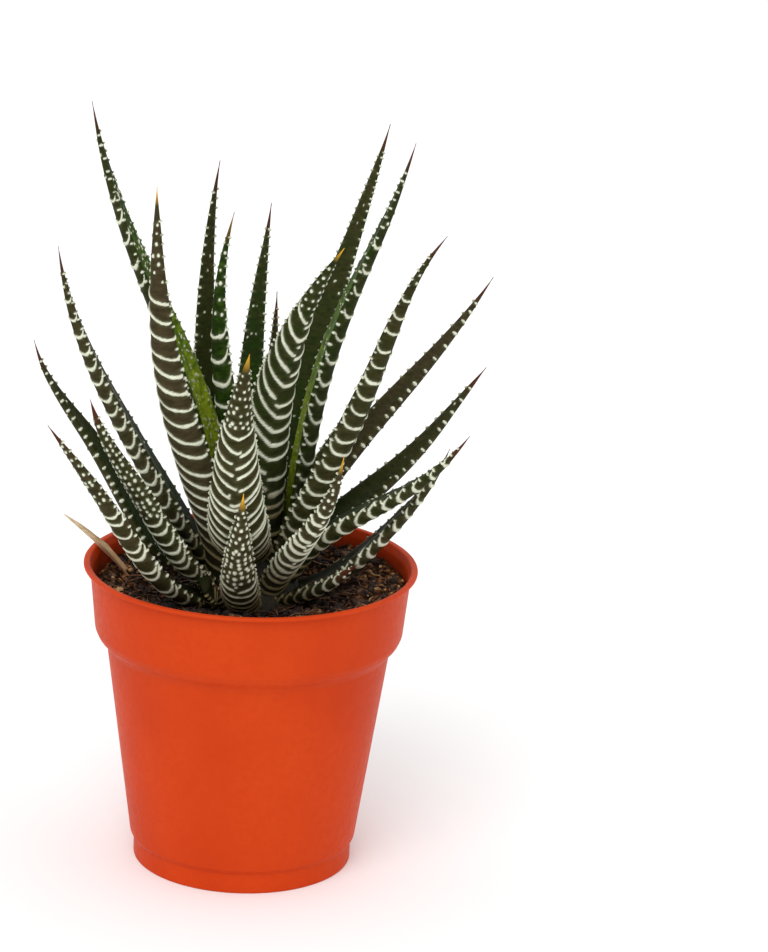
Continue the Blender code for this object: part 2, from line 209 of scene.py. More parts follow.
def mesh_from(name, verts, faces):
    """A mesh object from an array of points and arrays of faces, each with its own corner count."""
    mesh = bpy.data.meshes.new(name)
    loops = np.concatenate([f.ravel() for f in faces]).astype(np.int32)
    counts = np.concatenate([np.full(len(f), f.shape[1]) for f in faces])
    starts = np.concatenate([[0], np.cumsum(counts)[:-1]]).astype(np.int32)
    mesh.vertices.add(len(verts))
    mesh.vertices.foreach_set("co", np.asarray(verts, np.float32).ravel())
    mesh.loops.add(len(loops))
    mesh.loops.foreach_set("vertex_index", loops)
    mesh.polygons.add(len(counts))
    mesh.polygons.foreach_set("loop_start", starts)
    mesh.update(calc_edges=True)
    mesh.polygons.foreach_set("use_smooth", np.ones(len(counts), bool))
    return in_scene(name, mesh)


def in_scene(name, data):
    """A new object in the scene."""
    obj = bpy.data.objects.new(name, data)
    bpy.context.scene.collection.objects.link(obj)
    return obj


def object_of(name, sheet):
    """A new object in the scene from an edit mesh, which is freed."""
    data = bpy.data.meshes.new(name)
    sheet.to_mesh(data)
    sheet.free()
    return in_scene(name, data)


def ring_faces(rows, columns):
    """Faces over a stack of equal rings: its sides, then the fans to the two end points after them."""
    i, j = np.arange(rows - 1)[:, None], np.arange(columns)[None, :]
    k = (j + 1) % columns
    low_left, low_right = i * columns + j, i * columns + k
    sides = np.stack([low_left, low_right, low_right + columns, low_left + columns], axis=-1)
    j, k = j.ravel(), k.ravel()
    last = (rows - 1) * columns
    low = np.stack([k, j, np.full(columns, rows * columns)], axis=-1)
    high = np.stack([last + j, last + k, np.full(columns, rows * columns + 1)], axis=-1)
    return sides.reshape(-1, 4), low, high


def skin(name, rings, low_end, high_end):
    """One closed skin over a stack of equal rings, (rows, columns, 3), closed on a point at each end."""
    verts = np.concatenate([rings.reshape(-1, 3), [low_end, high_end]])
    return mesh_from(name, verts, ring_faces(*rings.shape[:2]))


def give(obj, name, values):
    """Store one number for each vertex, for the material to read."""
    layer = obj.data.attributes.new(name, "FLOAT", "POINT")
    layer.data.foreach_set("value", np.asarray(values, np.float32).ravel())


def finish_piece(obj, material, slot, *nodes):
    """Give a piece its material and its body, and hide the frame parts that it stands for; its slot is not
    used.
    """
    obj.data.materials.clear()
    obj.data.materials.append(material)
    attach(obj, "root")
    if nodes:
        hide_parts(*nodes)
    return obj


# ------------------------------------------------------------------ materials

class Nodes:
    """A few short words for wiring a material."""

    def __init__(self, name):
        self.material = bpy.data.materials.new(name)
        self.material.use_nodes = True
        self.tree = self.material.node_tree
        self.shader = self.tree.nodes["Principled BSDF"]

    def add(self, kind, **settings):
        node = self.tree.nodes.new(kind)
        for key, value in settings.items():
            setattr(node, key, value)
        return node

    def link(self, source, target):
        self.tree.links.new(source, target)

    def feed(self, slot, value):
        """Put a number, a colour or another node's output into a slot."""
        if isinstance(value, bpy.types.NodeSocket):
            self.link(value, slot)
        elif isinstance(value, (int, float)):
            slot.default_value = value
        else:
            slot.default_value = (*value, 1)

    def paint(self, colour, roughness, specular=None):
        """Set the shader's colour, roughness and shine, and give the finished material."""
        self.feed(self.shader.inputs["Base Color"], colour)
        self.feed(self.shader.inputs["Roughness"], roughness)
        if specular is not None:
            self.feed(self.shader.inputs["Specular IOR Level"], specular)
        return self.material

    def attribute(self, name):
        return self.add("ShaderNodeAttribute", attribute_name=name).outputs["Fac"]

    def place(self, stretch=(1, 1, 1), source=None):
        """Object coordinates, or others, stretched."""
        mapping = self.add("ShaderNodeMapping")
        mapping.inputs["Scale"].default_value = stretch
        self.link(source or self.add("ShaderNodeTexCoord").outputs["Object"], mapping.inputs["Vector"])
        return mapping.outputs["Vector"]

    def noise(self, scale, detail=3, rough=0.5, stretch=(1, 1, 1), source=None):
        """A cloudy pattern, 0 to 1."""
        made = self.add("ShaderNodeTexNoise")
        made.inputs["Scale"].default_value = scale
        made.inputs["Detail"].default_value = detail
        made.inputs["Roughness"].default_value = rough
        self.link(self.place(stretch, source), made.inputs["Vector"])
        return made.outputs["Fac"]

    def spread(self, value, *limits):
        """Map one range onto another, clamped: from low, from high, to low, to high."""
        made = self.add("ShaderNodeMapRange")
        for slot, number in zip(("From Min", "From Max", "To Min", "To Max"), limits):
            made.inputs[slot].default_value = number
        self.link(value, made.inputs["Value"])
        return made.outputs["Result"]

    def sum(self, a, b, operation="ADD"):
        """Two values added, or else combined, kept within 0 to 1."""
        made = self.add("ShaderNodeMath", operation=operation, use_clamp=True)
        for slot, value in zip(made.inputs, (a, b)):
            self.feed(slot, value)
        return made.outputs["Value"]

    def ramp(self, value, *stops):
        """Colour by value: stops are (place, colour)."""
        made = self.add("ShaderNodeValToRGB")
        elements = made.color_ramp.elements
        while len(elements) < len(stops):
            elements.new(0.5)
        for element, (place, colour) in zip(elements, stops):
            element.position = place
            element.color = (*colour, 1)
        self.link(value, made.inputs["Fac"])
        return made.outputs["Color"]

    def mix(self, factor, a, b):
        """One colour over another."""
        made = self.add("ShaderNodeMix", data_type="RGBA")
        for slot, value in (("Factor", factor), ("A", a), ("B", b)):
            self.feed(made.inputs[slot], value)
        return made.outputs["Result"]

    def cells(self, scale):
        """A random number for each cell of a granular pattern, and the distance from its middle."""
        made = self.add("ShaderNodeTexVoronoi")
        made.inputs["Scale"].default_value = scale
        self.link(self.place(), made.inputs["Vector"])
        split = self.add("ShaderNodeSeparateColor")
        self.link(made.outputs["Color"], split.inputs["Color"])
        return split.outputs["Red"], made.outputs["Distance"]

    def bump(self, height, strength, distance):
        """Fine relief."""
        made = self.add("ShaderNodeBump")
        made.inputs["Strength"].default_value = strength
        made.inputs["Distance"].default_value = distance
        self.link(height, made.inputs["Height"])
        self.link(made.outputs["Normal"], self.shader.inputs["Normal"])


def leaf_material(look):
    """Dark succulent skin with raised cream marks; vertex numbers say where each colour goes."""
    m = Nodes("Haworthia_leaf_skin")
    flat = m.add("ShaderNodeCombineXYZ")
    m.link(m.attribute("girth"), flat.inputs["X"])
    m.link(m.attribute("run"), flat.inputs["Y"])
    wrinkles = m.noise(900, 3, 0.6, (0.30, 1, 1), flat.outputs["Vector"])
    blotch = m.noise(420, 3, 0.55)
    tone = m.sum(m.attribute("tone"), m.spread(blotch, 0.35, 0.68, -0.07, 0.09))
    skin_colour = m.ramp(tone, (0.0, look.skin_brown), (0.22, look.skin_olive), (0.5, look.skin_green),
                         (0.78, look.skin_bright), (1.0, look.skin_lime))
    skin_colour = m.mix(m.spread(m.attribute("halo"), 0, 1, 0.0, 0.26), skin_colour, look.halo)
    skin_colour = m.mix(m.spread(wrinkles, 0.40, 0.72, 0.0, 0.6), skin_colour, look.wrinkle_and_shade)
    # Painted shade: toward the crown the skin is darkened with the wrinkle colour.
    skin_colour = m.mix(m.spread(m.attribute("base"), 0, 1, 0.0, 0.7), skin_colour, look.wrinkle_and_shade)
    tip_colour = m.mix(m.attribute("gold"), look.tip_red, look.tip_gold)
    skin_colour = m.mix(m.attribute("tip"), skin_colour, tip_colour)
    # Painted shade: toward the crown the marks turn to their shaded colour, with some random tone.
    mark_colour = m.ramp(m.sum(m.attribute("base"), m.spread(m.noise(700, 2), 0.3, 0.7, 0.0, 0.25)),
                         (0.0, look.mark), (1.0, look.mark_in_shade))
    roughness = m.sum(m.spread(blotch, 0.3, 0.7, 0.40, 0.54), m.spread(m.attribute("mark"), 0, 1, 0.0, 0.16))
    m.bump(m.sum(wrinkles, m.noise(2600, 2, 0.6), "MULTIPLY"), 0.45, 0.0003)
    return m.paint(m.mix(m.attribute("mark"), skin_colour, mark_colour), roughness, LEAF_SHINE)


def pot_material(look):
    """Satin moulded plastic with faint flow marks and dust."""
    m = Nodes("Terracotta_plastic")
    flow = m.noise(38, 3, 0.5, (1, 1, 0.7))
    mottle = m.noise(520, 4, 0.65)
    colour = m.ramp(flow, (0.30, look.colour_deep), (0.52, look.colour), (0.75, look.colour_pale))
    colour = m.mix(m.spread(mottle, 0.42, 0.75, 0.0, 0.5), colour, look.colour_deep)
    colour = m.mix(m.attribute("dust"), colour, DUST)
    m.bump(m.sum(m.noise(2400, 3, 0.6), m.noise(700, 2), "MULTIPLY"), 0.25, 0.0003)
    return m.paint(colour, m.spread(mottle, 0.3, 0.7, 0.36, 0.50), MATT_SHINE)


def compost_material(look):
    """Moist peat, nearly black where it is deep and in the painted shade under the plant, brown where it
    dries.
    """
    m = Nodes("Peat_compost")
    clump = m.noise(260, 5, 0.65)
    dry = m.attribute("dry")
    cell, gap = m.cells(900)
    # Painted shade: the "dry" numbers mark drier peat and also darken the middle under the plant.
    tone = m.sum(m.spread(clump, 0.35, 0.75, -0.1, 0.38), m.sum(dry, 0.34, "MULTIPLY"))
    tone = m.sum(tone, m.spread(cell, 0.45, 1.0, 0.0, 0.45))
    tone = m.sum(tone, m.spread(gap, 0.35, 0.9, 0.0, -0.3))
    colour = m.ramp(tone, (0.0, look.wet), (0.35, look.brown), (0.7, look.dry), (1.0, look.pale))
    m.bump(m.noise(1600, 4, 0.7), 0.8, 0.0006)
    return m.paint(colour, m.spread(clump, 0.3, 0.7, 0.75, 0.98), MATT_SHINE)


def crumb_material(look):
    """Loose bits of compost, bark and fibre, each with its own shade."""
    m = Nodes("Compost_crumbs")
    shade = m.sum(m.attribute("shade"), m.spread(m.noise(1500, 3), 0.3, 0.7, -0.12, 0.12))
    colour = m.ramp(shade, (0.0, look.wet), (0.4, look.brown), (0.72, look.dry), (1.0, look.pale))
    m.bump(m.noise(2200, 3, 0.7), 0.6, 0.0004)
    return m.paint(colour, m.spread(m.attribute("shade"), 0, 1, 0.92, 0.6))


def stem_material():
    """Dark, rough skin of the short stem."""
    m = Nodes("Leafy_stem")
    colour = m.ramp(m.noise(380, 4, 0.6), (0.3, STEM_DARK), (0.75, STEM_PALE))
    m.bump(m.noise(1200, 3, 0.6), 0.5, 0.0004)
    return m.paint(colour, 0.8)


def dry_leaf_material(look):
    """Papery straw with rust at its foot."""
    m = Nodes("Withered_leaf")
    streak = m.noise(900, 4, 0.6, (0.25, 1, 1))
    colour = m.ramp(streak, (0.3, look.straw_deep), (0.62, look.straw))
    colour = m.mix(m.attribute("base"), colour, look.straw_rust)
    m.bump(streak, 0.5, 0.0003)
    return m.paint(colour, m.spread(streak, 0.3, 0.7, 0.62, 0.85))


# ------------------------------------------------------------------ leaves

def cut_points(verts, edges, point, normal, reach):
    """Where the edges cross a plane, no further than reach from a point of it."""
    side = (verts - point) @ normal
    a, b = side[edges[:, 0]], side[edges[:, 1]]
    hit = a * b < 0
    share = (a[hit] / (a[hit] - b[hit]))[:, None]
    found = verts[edges[hit, 0]] * (1 - share) + verts[edges[hit, 1]] * share
    return found[np.linalg.norm(found - point, axis=1) < reach]


def spaced(points, count):
    """The same line with equal steps."""
    run = np.concatenate([[0], np.cumsum(np.linalg.norm(np.diff(points, axis=0), axis=1))])
    at = np.linspace(0, run[-1], count)
    return np.stack([np.interp(at, run, points[:, k]) for k in range(3)], axis=1), at


def leaf_bones(node):
    """Centre line, run along it, turn of the across direction and half width of a frame leaf."""
    verts, edges = frame_arrays(node)
    crown = np.array([0, 0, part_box("stem")[0].z * 0.4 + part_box("stem")[1].z * 0.6])
    tip = verts[np.argmax(np.linalg.norm(verts - crown, axis=1))]
    away = np.linalg.norm(verts - tip, axis=1)
    root = verts[away > 0.94 * away.max()].mean(0)
    line, _ = spaced(np.array([root, tip]), STATIONS)
    for reach in (FIRST_SEARCH, SEARCH, SEARCH, SEARCH):
        heading = unit(np.gradient(line, axis=0))
        centred = line.copy()
        for i in range(1, STATIONS - 1):
            found = cut_points(verts, edges, line[i], heading[i], reach)
            if len(found) > 4:
                centred[i] = (found.min(0) + found.max(0)) / 2
        centred[0] = 2 * centred[2] - centred[4]
        centred[-1] = tip
        line, run = spaced(smooth_rows(centred, 1.2), STATIONS)
    heading = unit(np.gradient(line, axis=0))
    turns, weights, wides = [], [], []
    for i in range(STATIONS - 1):
        found = cut_points(verts, edges, line[i], heading[i], SEARCH)
        if len(found) < 6:
            turns.append(0.0)
            weights.append(0.0)
            wides.append(np.nan)
            continue
        spread_of = found - found.mean(0)
        _, size, axes = np.linalg.svd(spread_of, full_matrices=False)
        wide = axes[0]
        turns.append(math.atan2(wide[1], wide[0]))
        weights.append((size[0] - size[1]) * math.hypot(wide[0], wide[1]))
        wides.append(np.ptp(spread_of @ wide) / 2)
    outward = math.atan2(*(tip - root)[[1, 0]])
    # A section looks the same turned by half a turn; this keeps all of them on the same side
    square = np.array(turns)
    square = outward + math.pi / 2 + (square - outward - math.pi / 2 + math.pi / 2) % math.pi - math.pi / 2
    fit = np.polyfit(run[:-1], square, 1, w=np.array(weights) + 1e-9)
    known = ~np.isnan(wides)
    wide = np.interp(run, np.append(run[:-1][known], run[-1]), np.append(np.array(wides)[known], 0.0))
    return line, run, np.polyval(fit, run), wide


def wobble(rng, size, sigma):
    """A smooth random line of that many steps, about -1 to 1."""
    line = smooth_rows(rng.normal(size=size + 8), sigma)[:size]
    return line / (np.abs(line).max() + 1e-9)


def marks(look, run, across, margin, rng):
    """Raised marks over a leaf's skin: their height, their colour and the paler skin round them, 0 to 1.

    run: distance from the crown, a column; across: signed distance from the keel round the skin;
    margin: distance from the keel to the leaf's edge, a column.
    """
    height, colour, halo = np.zeros_like(across), np.zeros_like(across), np.zeros_like(across)
    length = run[-1, 0]
    ragged = 1 + 0.16 * np.stack([wobble(rng, across.shape[1], 1.3) for _ in range(across.shape[0])])

    def stamp(low, high, distance_of, tall=1.0):
        rows = slice(*np.searchsorted(run[:, 0], (low, high)))
        if rows.start >= rows.stop:
            return
        near = distance_of(run[rows], across[rows], margin[rows]) * ragged[rows]
        height[rows] = np.maximum(height[rows], tall * np.sqrt(np.clip(1 - (near / 1.15) ** 2, 0, 1)))
        colour[rows] = np.maximum(colour[rows], np.clip((1.18 - near) / 0.34, 0, 1))
        halo[rows] = np.maximum(halo[rows], np.clip((3.2 - near) / 2.0, 0, 1))

    def dot(at, off, size):
        stamp(at - 2 * size, at + 2 * size, lambda s, m, _: np.hypot((s - at) / 1.25, m - off) / size)

    def tooth(at, off, size):
        stamp(at - 2 * size, at + 2 * size,
              lambda s, m, _: np.hypot(s - at, (m - off) / 1.5) / size, tall=2.0)

    def band(at, start, stop, thick):
        here = np.interp(at, run[:, 0], margin[:, 0])
        curl = wobble(rng, 40, 3) * 0.30 * MM
        beads = 1 + 0.28 * wobble(rng, 60, 1.4)
        fade = rng.uniform(0.85, 1.1)
        tilt = look.tilt + rng.uniform(-0.12, 0.12)

        def distance(s, m, edge):
            w = m / edge
            rise = (look.sag * np.abs(w) ** 5 + 0.12 * w ** 2 + look.vee * np.abs(w) + tilt * w) * here
            bend = np.interp(w, np.linspace(-1.2, 1.2, 40), curl)
            past = np.maximum(0, np.maximum(start - w, w - stop)) * edge
            width = thick * fade / 2 * np.interp(w, np.linspace(-1.2, 1.2, 60), beads)
            return np.hypot(s - at - rise - bend, past) / width
        slope = abs(tilt) * 1.3 * here
        stamp(at - slope - 2 * MM, at + slope + (look.sag * 1.6 + look.vee * 1.2) * here + 2 * MM, distance)

    at = max(look.first * length, TUCK * 0.5)
    while at < look.last * length:
        part = at / length
        pitch = look.pitch * MM * rng.uniform(0.88, 1.12) * (0.80 + 0.35 * part)
        thick = look.thick * MM * rng.uniform(0.88, 1.1) * (1.05 - 0.35 * part)
        left, right = -rng.uniform(0.88, 1.04), rng.uniform(0.88, 1.04)
        if rng.random() < look.split:
            gap = rng.uniform(0.03, 0.12)
            middle = rng.uniform(-0.15, 0.15)
            slip = -rng.uniform(0.2, 0.42) * pitch
            band(at, left, middle - gap, thick)
            band(at + slip, middle + gap, right, thick)
            if rng.random() < 0.3:
                dot(at + 0.5 * pitch, middle * margin.max(), 0.4 * thick)
        else:
            band(at, left, right, thick)
        at += pitch
    while at < 0.93 * length:
        pitch = look.pitch * MM * rng.uniform(0.45, 0.75)
        edge = np.interp(at, run[:, 0], margin[:, 0])
        count = max(1, int(round(2 * edge / DOT_SPACING)))
        size = DOT_SIZE * min(1.2, look.dots) ** 0.5 * (1 - 0.45 * at / length)
        for k in range(count):
            if rng.random() < min(1.0, 0.75 * look.dots):
                off = ((k + 0.5) / count * 2 - 1) * edge * 0.9
                dot(at + rng.uniform(-0.5, 0.5) * MM, off + rng.uniform(-0.25, 0.25) * MM,
                    size * rng.uniform(0.75, 1.2))
        at += pitch
    for side in (-1, 1):
        at = 0.06 * length
        while at < 0.94 * length:
            edge = np.interp(at, run[:, 0], margin[:, 0])
            size = (TOOTH_LEAST + TOOTH_GROWTH * look.teeth) * MM * rng.uniform(0.75, 1.15)
            size = size * (1.1 - 0.45 * at / length)
            tooth(at, side * edge * rng.uniform(0.95, 1.05), size)
            at += look.teeth * MM * rng.uniform(0.7, 1.3)
    for _ in range(int(look.freckles * length / (10 * MM))):
        at = rng.uniform(0.08, 0.85) * length
        edge = np.interp(at, run[:, 0], margin[:, 0])
        dot(at, rng.choice((-1, 1)) * edge * rng.uniform(1.15, 1.9), rng.uniform(0.16, 0.30) * MM)
    return height, colour, halo


def leaf_section(half, depth, part):
    """Ring of (across, upper) points round a leaf: keeled below, nearly flat or hollow above."""
    angle = np.linspace(0, math.tau, COLUMNS, endpoint=False)[None, :]
    cosine, sine = np.cos(angle), np.sin(angle)
    across = half * np.sign(cosine) * np.abs(cosine) ** 0.94
    round_up, round_down = np.clip(sine, 0, 1), np.clip(-sine, 0, 1)
    rim = 0.32 * depth
    crest = 0.18 * depth * round_up ** 0.7 - (0.24 * (1 - part)) * depth * round_up ** 4
    belly = 0.84 * depth * (0.75 * round_down ** 0.85 + 0.25 * round_down ** 3)
    return across, rim + crest - belly


def make_leaf(node, look, settings, material, rng):
    """The finished skin of one leaf over its frame part."""
    line, run, turn, wide = leaf_bones(node)
    length = run[-1]
    rows = int((length + TUCK) / ROW_STEP)
    at = np.linspace(-TUCK, length * (1 - BLUNT), rows)
    slope = (line[3] - line[0]) / (run[3] - run[0])
    spine = np.stack([np.interp(at, run, line[:, k]) for k in range(3)], axis=1)
    spine += np.minimum(at, 0)[:, None] * slope
    bend = BENDS.get(node, STRAIGHT)
    part = np.clip(at / length, 0, 1)
    hump, end = np.sin(math.pi * part ** 1.2), part ** 3
    spine[:, 0] += (bend.middle_x * hump + bend.tip_x * end) * MM
    spine[:, 2] += (bend.middle_z * hump + bend.tip_z * end) * MM
    spine = smooth_rows(spine, SPINE_SMOOTH / ROW_STEP)
    along = unit(np.gradient(spine, axis=0))
    turned = np.interp(at, run, turn)
    across = np.stack([np.cos(turned), np.sin(turned), np.zeros(rows)], axis=1)
    across = unit(across - along * np.sum(across * along, axis=1, keepdims=True))
    upper = np.cross(along, across)
    full = wide[(run > 0.15 * length) & (run < 0.4 * length)].max()
    half = np.interp(at, run, wide)
    half = np.where(at < 0.25 * length, np.maximum(half, full * np.clip(0.90 + 0.4 * part, 0, 1)), half)
    half = np.clip(smooth_rows(half, WIDTH_SMOOTH / ROW_STEP) * bend.wider, THINNEST, None)[:, None]
    part = part[:, None]
    depth = half * 2 * (0.40 + 0.26 * part)
    x, y = leaf_section(half, depth, part)
    roll = math.radians(look.twist) * np.sin(math.pi * np.clip(part, 0, 1) ** 0.7)
    x, y = x * np.cos(roll) - y * np.sin(roll), x * np.sin(roll) + y * np.cos(roll)
    rings = spine[:, None] + across[:, None] * x[..., None] + upper[:, None] * y[..., None]

    step = np.hypot(np.roll(x, -1, axis=1) - x, np.roll(y, -1, axis=1) - y)
    around = np.cumsum(step, axis=1) - step
    keel = 3 * COLUMNS // 4
    girth = step.sum(axis=1, keepdims=True)
    from_keel = (around - around[:, keel:keel + 1] + girth / 2) % girth - girth / 2
    margin = np.abs(from_keel[:, COLUMNS // 2:COLUMNS // 2 + 1])
    height, colour, halo = marks(look, at[:, None] + TUCK, from_keel, margin, rng)

    out = np.cross(np.roll(rings, -1, axis=1) - np.roll(rings, 1, axis=1), np.gradient(rings, axis=0))
    out = unit(out + 1e-12)
    calm = np.clip((length - at) / CALM_REACH, 0, 1)[:, None]
    lift = height * settings.mark_height * (0.35 + 0.65 * calm)
    uneven = np.stack([wobble(rng, COLUMNS, 6) for _ in range(12)])
    place = np.linspace(0, 11, rows)
    low = np.floor(place).astype(int).clip(0, 10)
    mixed = uneven[low] * (1 - (place - low))[:, None] + uneven[low + 1] * (place - low)[:, None]
    rings = rings + out * (lift + mixed * UNEVEN * calm)[..., None]

    obj = skin("Leaf_" + node.replace("_leaf", ""), rings, spine[0], spine[-1] + along[-1] * 0.4 * MM)
    inner = np.clip((np.abs(from_keel) / margin - 1.0) * 5, 0, 1)
    tone = look.tone * (1 - inner) + inner * look.inner_tone * (1 - 0.9 * np.clip(part - 0.25, 0, 1))
    dry = settings.tip_length * (1 - 0.45 * look.gold)
    tip = np.clip((at - length + dry) / (0.8 * dry), 0, 1)[:, None]
    # Painted shade: how dark the skin and marks are painted near the crown, a little more on the inner face.
    base = np.clip(1.25 - at / SHADED_BASE_REACH, 0, 1)[:, None] + 0.1 * inner

    def with_ends(values):
        values = np.broadcast_to(values, height.shape)
        return np.append(values.ravel(), (values[0, 0], values[-1, 0]))

    for name, values in (("mark", colour), ("halo", halo), ("tone", tone), ("tip", tip), ("base", base),
                         ("gold", np.full((1, 1), look.gold)), ("run", at[:, None]), ("girth", from_keel)):
        give(obj, name, with_ends(values))
    return finish_piece(obj, material, "leaf", node)


# ------------------------------------------------------------------ pot

def rounded(corners, radius, steps=4):
    """An open (radius, height) line with its inner corners rounded."""
    made = [corners[0]]
    for before, corner, after in zip(corners, corners[1:], corners[2:]):
        b, c, a = Vector(before), Vector(corner), Vector(after)
        first = c + (b - c).normalized() * min(radius, 0.45 * (b - c).length)
        second = c + (a - c).normalized() * min(radius, 0.45 * (a - c).length)
        for k in range(steps + 1):
            t = k / steps
            made.append(tuple(first * (1 - t) ** 2 + c * 2 * t * (1 - t) + second * t ** 2))
    made.append(corners[-1])
    return made


def pot_line(s):
    """The pot's outline, from the middle of the base, up the outside, over the lip and down inside."""
    top = s.height
    under_lip = top - s.lip_thickness
    outside = [
        (0.0, 0.0), (s.base_radius, 0.0), (s.base_radius, s.base_height), (s.foot_radius, s.foot_height),
        (s.shoulder_radius, s.shoulder_height), (s.shoulder_radius + 0.5 * MM, s.shoulder_height + 1.0 * MM),
        (s.band_radius - 0.8 * MM, s.band_height - 1.8 * MM), (s.band_radius, s.band_height),
        (s.rim_radius - s.lip_overhang, under_lip), (s.rim_radius, under_lip), (s.rim_radius, top),
    ]
    inside = [
        (s.rim_radius - s.lip_overhang, top), (s.rim_radius - s.lip_overhang - s.wall, top - 2 * MM),
        (s.band_radius - s.wall, s.band_height), (s.shoulder_radius - s.wall, s.shoulder_height),
        (s.foot_radius - s.wall, s.foot_height), (s.base_radius - s.wall, s.base_height),
        (s.base_radius - s.wall, s.base_thickness), (0.0, s.base_thickness),
    ]
    return rounded(outside + inside, CORNER)


def fine_line(points, longest):
    """The same line with no step longer than that."""
    made = [points[0]]
    for (r0, z0), (r1, z1) in zip(points, points[1:]):
        count = max(1, math.ceil(math.hypot(r1 - r0, z1 - z0) / longest))
        made += [(r0 + (r1 - r0) * k / count, z0 + (z1 - z0) * k / count) for k in range(1, count + 1)]
    return made


def lathe(name, points, segments):
    """A closed turned body; the line starts and ends on the axis."""
    turns = np.linspace(0, math.tau, segments, endpoint=False)
    line = np.array(points[1:-1])
    rings = np.stack([line[:, :1] * np.cos(turns), line[:, :1] * np.sin(turns),
                      np.repeat(line[:, 1:], segments, axis=1)], axis=-1)
    return skin(name, rings, (0, 0, points[0][1]), (0, 0, points[-1][1]))


def drill(obj, spots, radius, depth):
    """Cut round holes down through a piece."""
    cutter_mesh = bmesh.new()
    for x, y in spots:
        made = bmesh.ops.create_cone(cutter_mesh, cap_ends=True, segments=48, radius1=radius,
                                     radius2=radius, depth=depth)
        bmesh.ops.translate(cutter_mesh, verts=made["verts"], vec=(x, y, 0))
    cutter = object_of("cutter", cutter_mesh)
    boolean = obj.modifiers.new("holes", "BOOLEAN")
    boolean.operation, boolean.solver, boolean.object = "DIFFERENCE", "EXACT", cutter
    bpy.context.view_layer.update()
    done = bpy.data.meshes.new_from_object(obj.evaluated_get(bpy.context.evaluated_depsgraph_get()))
    obj.modifiers.clear()
    obj.data = done
    bpy.data.objects.remove(cutter)


# ------------------------------------------------------------------ compost

def surface_under(node):
    """Height of a frame part's top at a place, or None."""
    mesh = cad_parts[node].data
    faces = [tuple(p.vertices) for p in mesh.polygons]
    tree = BVHTree.FromPolygons([tuple(v) for v in points_of(mesh)], faces)

    def height(x, y):
        hit = tree.ray_cast(Vector((x, y, ABOVE_ALL)), Vector((0, 0, -1)))
        return hit[0].z if hit[0] else None
    return height


def compost_height(settings):
    """Height of the finished compost at a place: the frame's surface with clods on it."""
    under = surface_under("soil")

    def height(x, y):
        reach = math.hypot(x, y)
        flat = max(reach, CROWN) / max(reach, 1e-6)
        level = under(x * flat, y * flat)
        if level is None:
            level = under(x * 0.97, y * 0.97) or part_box("soil")[1].z
        p = Vector((x, y, 0.0))
        clods = noise.fractal(p / (7 * MM), 0.9, 2.0, 2) * 0.9
        lumps = 1 - 2 * abs(noise.noise(p / (3.1 * MM) + Vector((7, 3, 1))))
        grit = 1 - 1.6 * noise.voronoi(p / (2.0 * MM) + Vector((2, 9, 4)))[0][0]
        dust = 1 - 1.6 * noise.voronoi(p / (0.9 * MM) + Vector((5, 1, 8)))[0][0]
        return level + settings.roughness * (clods + 0.35 * lumps + 0.45 * grit + 0.22 * dust)
    return height


def make_compost(settings, material):
    """The finished compost: its sides from the frame, its surface with clods and grit."""
    height = compost_height(settings)
    verts, _ = frame_arrays("soil")
    reach = np.hypot(verts[:, 0], verts[:, 1])
    turns = np.linspace(0, math.tau, COMPOST_COLUMNS, endpoint=False)
    cosine, sine = np.cos(turns), np.sin(turns)
    buried = sorted({round(z, 4) for z in verts[:, 2] if z < BURIED_BELOW})
    sides = [(reach[np.abs(verts[:, 2] - z) < 0.2 * MM].max(), z) for z in buried]
    sides = [side for side in sides if side[0] > 20 * MM]
    edge = reach[verts[:, 2] > BURIED_BELOW].max() - 0.1 * MM
    rings = [np.stack([r * cosine, r * sine, np.full(COMPOST_COLUMNS, z)], axis=-1) for r, z in sides]
    for r in np.linspace(edge, 0.6 * MM, COMPOST_RINGS):
        xs, ys = r * cosine, r * sine
        rings.append(np.stack([xs, ys, [height(x, y) for x, y in zip(xs, ys)]], axis=-1))
    obj = skin("Compost", np.array(rings), (0, 0, sides[0][1]), (0, 0, height(0, 0)))
    x, y, _ = points_of(obj.data).T
    # Painted shade: these numbers also darken the middle, under the plant.
    give(obj, "dry", dryness_and_shade(x, y))
    return finish_piece(obj, material, "soil", "soil")


def dryness_and_shade(x, y):
    """The compost is painted paler at the wall and to the sides, where it dries; in the middle, under the
    plant, it is painted black, which is painted shade.
    """
    outward = 0.50 * (np.hypot(x, y) / COMPOST_RADIUS) ** 2
    return np.clip(outward + 0.55 * np.abs(x + 3 * MM) / COMPOST_RADIUS - 0.12, 0.0, 1)


def blob(rng, size):
    """A lumpy crumb about its own middle."""
    ball = bmesh.new()
    bmesh.ops.create_icosphere(ball, subdivisions=2, radius=1)
    stretch = rng.uniform(0.6, 1.15, 3)
    seed = Vector(rng.uniform(0, 50, 3))
    verts = []
    for v in ball.verts:
        p = v.co * (1 + 0.45 * noise.noise(v.co * 1.6 + seed))
        verts.append((p.x * stretch[0] * size, p.y * stretch[1] * size, p.z * stretch[2] * size))
    faces = [[v.index for v in f.verts] for f in ball.faces]
    ball.free()
    return np.array(verts), np.array(faces)


def strand(rng, length, radius):
    """A bent fibre lying along X."""
    rows, columns = 9, 5
    along = np.linspace(-0.5, 0.5, rows) * length
    bend = wobble(rng, rows, 2) * 0.16 * length
    rise = np.abs(wobble(rng, rows, 2)) * 0.10 * length
    turns = np.linspace(0, math.tau, columns, endpoint=False)
    taper = radius * (1 - 0.7 * np.abs(np.linspace(-1, 1, rows)) ** 3)
    rings = np.stack([np.repeat(along[:, None], columns, 1),
                      bend[:, None] + taper[:, None] * np.cos(turns),
                      rise[:, None] + taper[:, None] * np.sin(turns)], axis=-1)
    sides, low, high = ring_faces(rows, columns)
    tris = [sides[:, [0, 1, 2]], sides[:, [0, 2, 3]], low, high]
    ends = [[along[0] - radius, bend[0], rise[0]], [along[-1] + radius, bend[-1], rise[-1]]]
    return np.concatenate([rings.reshape(-1, 3), ends]), np.concatenate(tris)


